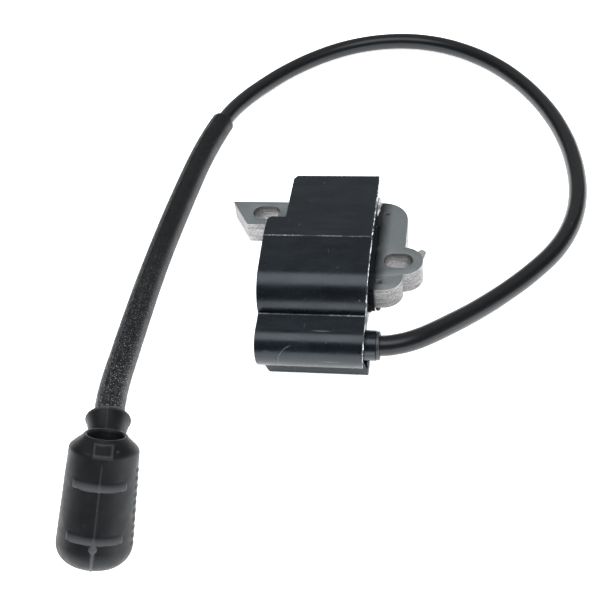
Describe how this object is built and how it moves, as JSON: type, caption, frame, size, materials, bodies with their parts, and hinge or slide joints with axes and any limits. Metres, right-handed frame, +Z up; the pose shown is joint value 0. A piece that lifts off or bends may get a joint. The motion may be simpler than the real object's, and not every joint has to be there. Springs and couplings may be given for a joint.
{
  "type": "ignition coil",
  "caption": "Flywheel-side ignition coil: a black potted housing on a laminated U-shaped core with slotted ears, and a high-tension lead in a rubber sleeve to a plug boot.",
  "frame": {"origin": "middle of the module's footprint, on the surface that its toe and pot rim stand on", "axes": "+X along the coil's axis towards the lead's outlet, +Y from the coil towards the far leg of the core, +Z up out of the housing's flat top"},
  "size_m": [0.1707, 0.2999, 0.0411],
  "materials": {
    "lamination_steel": "satin",
    "case_plastic": "satin",
    "potting_resin": "satin",
    "bobbin_nylon": "satin",
    "enamelled_copper": "gloss",
    "fine_copper": "gloss",
    "board_laminate": "satin",
    "capacitor_film": "gloss",
    "component_epoxy": "satin",
    "resistor_lacquer": "satin",
    "tinned_brass": "satin",
    "lead_jacket": "gloss",
    "terminal_brass": "satin",
    "sleeve_rubber": "matte",
    "boot_rubber": "matte",
    "spring_steel": "satin"
  },
  "bodies": {
    "root": {"case_shell": "case_plastic", "charge_bobbin": "bobbin_nylon", "charge_diode": "component_epoxy", "charge_winding": "enamelled_copper", "circuit_board": "board_laminate", "clamp_diode": "component_epoxy", "contact_spring": "spring_steel", "earth_tab": "tinned_brass", "film_capacitor": "capacitor_film", "gate_resistor": "resistor_lacquer", "ht_lead": "lead_jacket", "lamination_01": "lamination_steel", "lamination_02": "lamination_steel", "lamination_03": "lamination_steel", "lamination_04": "lamination_steel", "lamination_05": "lamination_steel", "lamination_06": "lamination_steel", "lamination_07": "lamination_steel", "lamination_08": "lamination_steel", "lamination_09": "lamination_steel", "lamination_10": "lamination_steel", "lamination_11": "lamination_steel", "lamination_12": "lamination_steel", "lead_bush": "sleeve_rubber", "lead_sleeve": "sleeve_rubber", "lead_terminal": "terminal_brass", "plug_boot": "boot_rubber", "primary_bobbin": "bobbin_nylon", "primary_winding": "enamelled_copper", "resin_fill": "potting_resin", "secondary_bobbin": "bobbin_nylon", "secondary_winding_1": "fine_copper", "secondary_winding_2": "fine_copper", "secondary_winding_3": "fine_copper", "secondary_winding_4": "fine_copper", "thyristor": "component_epoxy"}
  },
  "joints": []
}
